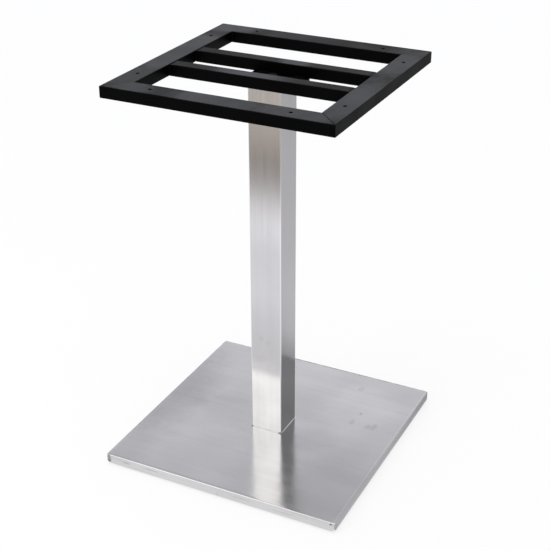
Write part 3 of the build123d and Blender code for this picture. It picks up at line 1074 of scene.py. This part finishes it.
def finished_piece(name, shape, body, slot, *nodes):
    """Makes a piece that rides on a body, in the finish of a slot, in place of any nodes given."""
    bmesh.ops.recalc_face_normals(shape, faces=shape.faces)
    made = plain_object(name, shape)
    made.data.shade_smooth()
    made.data.set_sharp_from_angle(angle=SHARP_ANGLE)
    made.data.materials.append(finish_of_slot[slot])
    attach(made, body)
    if nodes:
        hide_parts(*nodes)
    print(name, "faces:", len(made.data.polygons))


print("edges stay sharp from", round(math.degrees(SHARP_ANGLE)), "degrees")

# %% [markdown]
# ## Welds of the frame
#
# Each crossbar is welded to the rails up both sides and below. On top, where the table top rests,
# the welds are ground flush, and only a blob or a tack is left. Stitches hold the plate, and beads
# close the mitres. One bead could be copied to all these places, but welds by hand are all a little
# different, so each is made anew with its own drift.

# %% Sizes of the welds
SIDE_BEAD = 2.2 * MM  # radii
TOP_BEAD = 1.6 * MM
STITCH_BEAD = 2.4 * MM
BEAD_FOOT = 1 * MM  # from the lower edge of a crossbar
BEAD_HEAD = 1.5 * MM  # from its upper edge
UNDER_INSET = 2 * MM  # from its sides
LEFT_BLOB = 11 * MM  # length of the flush blob at the left end of each crossbar
RIGHT_TACK = 4 * MM
STITCH = 22 * MM
STITCH_PLACE = 33 * MM  # middle of each stitch from the middle of the plate
print("stitches of the plate:", round(STITCH / MM), "mm long")

# %% Welds of the crossbars
ALONG_X = (1.0, 0.0, 0.0)
ALONG_Y = (0.0, 1.0, 0.0)


def corners(box):
    return [Vector(corner) for corner in box]


frame_welds = bmesh.new()
rail_low, rail_high = corners(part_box("left_rail"))
plate_low, plate_high = corners(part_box("centre_plate"))
flush = rail_high.z - TOP_BEAD
for name in ("front_crossbar", "back_crossbar"):
    low, high = corners(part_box(name))
    middle = (low.y + high.y) / 2
    for x in (low.x, high.x):
        for y in (low.y, high.y):
            foot, head = (x, y, low.z + BEAD_FOOT), (x, y, high.z - BEAD_HEAD)
            add_bead(frame_welds, foot, head, SIDE_BEAD)
        start, end = low.y + UNDER_INSET, high.y - UNDER_INSET
        add_bead(frame_welds, (x, start, rail_low.z), (x, end, rail_low.z), TOP_BEAD)
    add_bead_about(frame_welds, (low.x, middle, flush), ALONG_Y, LEFT_BLOB, TOP_BEAD)
    for y in (low.y + RIGHT_TACK, high.y - RIGHT_TACK):
        add_bead_about(frame_welds, (high.x, y, flush), ALONG_Y, RIGHT_TACK, TOP_BEAD)
    inner = high.y if middle < 0 else low.y
    outer = plate_low.y if middle < 0 else plate_high.y
    for x, y in ((-STITCH_PLACE, inner), (STITCH_PLACE, inner), (0.0, outer)):
        add_bead_about(frame_welds, (x, y, low.z), ALONG_X, STITCH, STITCH_BEAD)
print("faces of the welds so far:", len(frame_welds.faces))

# %% Welds of the mitres
CORNER_INSET = 2 * MM  # from the upper and lower edges of the rails
UNDER_SPAN = (0.08, 0.92)  # of the mitre, from its inner to its outer end
UNDER_LIFT = 0.4 * MM  # how far the middle of a bead is sunk in the underside

for x_side in (-1, 1):
    for y_side in (-1, 1):
        out = Vector((x_side, y_side, 0.0))
        inside, outside = -rail_high.x * out, -rail_low.x * out
        foot = inside + Vector((0, 0, rail_low.z + CORNER_INSET))
        head = inside + Vector((0, 0, rail_high.z - CORNER_INSET))
        add_bead(frame_welds, foot, head, SIDE_BEAD)
        under = Vector((0, 0, rail_low.z + UNDER_LIFT))
        start, end = (inside.lerp(outside, share) + under for share in UNDER_SPAN)
        add_bead(frame_welds, start, end, TOP_BEAD)
print("faces of the welds with the mitres:", len(frame_welds.faces))

# %% [markdown]
# ## Spatter
#
# Arc welding throws small drops that stick to the faces nearby and are painted over. They could be
# scattered by a particle system, which is built for thousands. A few dozen small balls, half sunk
# in the sides of the crossbars near their ends, are all that is needed.

# %% Spatter and the finished welds
SPATTER_DROPS = 26
SPATTER_REACH = 16 * MM  # from the end of a crossbar
SPATTER_INSET = 3 * MM  # from its edges and from the weld
SPATTER_RADII = (0.35, 0.8)  # millimetres

for drop in range(SPATTER_DROPS):
    low, high = corners(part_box(shop_hand.choice(("front_crossbar", "back_crossbar"))))
    reach = shop_hand.uniform(SPATTER_INSET, SPATTER_REACH)
    x = shop_hand.choice((low.x + reach, high.x - reach))
    height = shop_hand.uniform(low.z + SPATTER_INSET, high.z - SPATTER_INSET)
    to_place = Matrix.Translation((x, shop_hand.choice((low.y, high.y)), height))
    radius = shop_hand.uniform(*SPATTER_RADII) * MM
    bmesh.ops.create_icosphere(frame_welds, subdivisions=2, radius=radius, matrix=to_place)
finished_piece("frame_welds", frame_welds, "base", "black_powder_coat")

# %% [markdown]
# ## Tacks of the nuts and seam of the column
#
# Under the foot, two short tacks hold each nut of the levelling feet to the plate. Where the column
# stands on the cover, a fine bright line shows. It could be a line in the finish. A thin bead, half
# sunk in both, catches the light from every side as the real seam does.

# %% Tacks of the nuts
TACK = 6 * MM

nut_tacks = bmesh.new()
nuts_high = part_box("foot_weld_nuts")[1]
under_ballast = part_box("ballast_plate")[0][2]
studs = [name for name in sorted(frame["nodes"]) if name.startswith("foot_stud_")]
feet = [name.removeprefix("foot_stud_") for name in studs]
foot_axis = {}
for foot in feet:
    low, high = corners(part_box("foot_stud_" + foot))
    foot_axis[foot] = (low + high) / 2
half_nut = nuts_high[0] - max(axis.x for axis in foot_axis.values())
for axis in foot_axis.values():
    for x in (axis.x - half_nut, axis.x + half_nut):
        add_bead_about(nut_tacks, (x, axis.y, under_ballast), ALONG_Y, TACK, TOP_BEAD)
finished_piece("nut_tacks", nut_tacks, "base", "primed_steel")

# %% Seam of the column
SEAM_BEAD = 1.1 * MM
SEAM_INSET = 1.2 * MM  # from the round corners of the column

column_seam = bmesh.new()
low, high = corners(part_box("column_tube"))
start, end = low.y + SEAM_INSET, high.y - SEAM_INSET
for face in (low.x, high.x):
    add_bead(column_seam, (face, start, low.z), (face, end, low.z), SEAM_BEAD)
    add_bead(column_seam, (start, face, low.z), (end, face, low.z), SEAM_BEAD)
finished_piece("column_seam", column_seam, "base", "satin_stainless")

# %% [markdown]
# ## Screw threads
#
# The tie rod and the studs of the feet are plain bars among the solids, and real ones are threaded.
# A thread could be drawn point by point along a helix. Spinning one tooth of its profile round the
# axis while it climbs by one pitch a turn gives the same surface in one step. The turns are merged
# where they meet, both ends are cut flat and closed, and the ends are chamfered so that a nut
# starts easily.

# %% Spun tooth
THREAD_STEPS = 14  # in a turn
PROFILE = (  # root or crest, and share of the pitch
    (0, 0.0), (0, 0.25), (1, 0.5625), (1, 0.6875), (0, 1.0))
MERGE = 0.01  # of the pitch


def spun_tooth(root, crest, start, pitch, turns):
    """One tooth spun up the upright axis, with its turns merged."""
    bar = bmesh.new()
    points = [
        bar.verts.new((crest if outer else root, 0, start + share * pitch))
        for outer, share in PROFILE
    ]
    lines = [bar.edges.new(pair) for pair in zip(points, points[1:])]
    bmesh.ops.spin(
        bar, geom=points + lines, cent=ORIGIN, axis=UP, dvec=(0, 0, pitch / THREAD_STEPS),
        angle=2 * math.pi * turns, steps=turns * THREAD_STEPS, use_merge=False)
    bmesh.ops.remove_doubles(bar, verts=bar.verts, dist=MERGE * pitch)
    return bar


print("steps in a turn of thread:", THREAD_STEPS)

# %% Threaded bar
THREAD_DEPTH = 0.6134  # of the pitch
RUN_IN = 1.5  # pitches that are cut off below
RUN_OUT = 0.5  # and at least above


def add_thread(whole, axis, bottom, top, diameter, pitch):
    """A closed threaded bar on an upright axis, chamfered at both ends."""
    crest = diameter / 2
    root = crest - THREAD_DEPTH * pitch
    start = bottom - RUN_IN * pitch
    bar = spun_tooth(root, crest, start, pitch, math.ceil((top - start) / pitch + RUN_OUT))
    for height, outward in ((bottom, -1), (top, 1)):
        everything = bar.verts[:] + bar.edges[:] + bar.faces[:]
        cut = bmesh.ops.bisect_plane(
            bar, geom=everything, plane_co=(0, 0, height), plane_no=(0, 0, outward),
            clear_outer=True)["geom_cut"]
        rim = [part for part in cut if isinstance(part, bmesh.types.BMEdge)]
        bmesh.ops.contextual_create(bar, geom=rim)
    for vert in bar.verts:
        allowed = root + min(vert.co.z - bottom, top - vert.co.z)
        reach = vert.co.xy.length
        if reach > allowed:
            vert.co.xy = vert.co.xy * (allowed / reach)
    bmesh.ops.recalc_face_normals(bar, faces=bar.faces)
    bmesh.ops.translate(bar, vec=(axis[0], axis[1], 0), verts=bar.verts)
    join_into(whole, bar)


print("depth of a thread:", THREAD_DEPTH, "of its pitch")

# %% [markdown]
# ## Threads of the feet and of the tie rod
#
# The studs are threaded all along and travel with their feet. The rod has its thread rolled on at
# both ends only, which leaves a thinner shank between. It could be threaded all along too, like bar
# from the shelf, but the middle is out of sight in the column, so a plain shank saves faces.

# %% Threads of the feet and of the tie rod
STUD_PITCH = 1.25 * MM
ROD_PITCH = 1.5 * MM
ROD_THREAD = 48 * MM  # at each end
SHANK = 0.90  # of the thread's diameter, which is what a rolled thread leaves

for foot in feet:
    low, high = corners(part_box("foot_stud_" + foot))
    stud = bmesh.new()
    add_thread(stud, foot_axis[foot], low.z, high.z, high.x - low.x, STUD_PITCH)
    finished_piece("threaded_stud_" + foot, stud, "foot_" + foot, "zinc_plate", "foot_stud_" + foot)

low, high = corners(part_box("tie_rod"))
diameter = high.x - low.x
rod = bmesh.new()
add_thread(rod, (0, 0), low.z, low.z + ROD_THREAD, diameter, ROD_PITCH)
add_thread(rod, (0, 0), high.z - ROD_THREAD, high.z, diameter, ROD_PITCH)
shank_radius = SHANK * diameter / 2
shank_length = high.z - low.z - 2 * ROD_THREAD
shank = bmesh.ops.create_cone(
    rod, cap_ends=True, segments=2 * THREAD_STEPS, radius1=shank_radius, radius2=shank_radius,
    depth=shank_length)
bmesh.ops.translate(rod, vec=(0, 0, (low.z + high.z) / 2), verts=shank["verts"])
finished_piece("threaded_tie_rod", rod, "base", "black_oxide", "tie_rod")
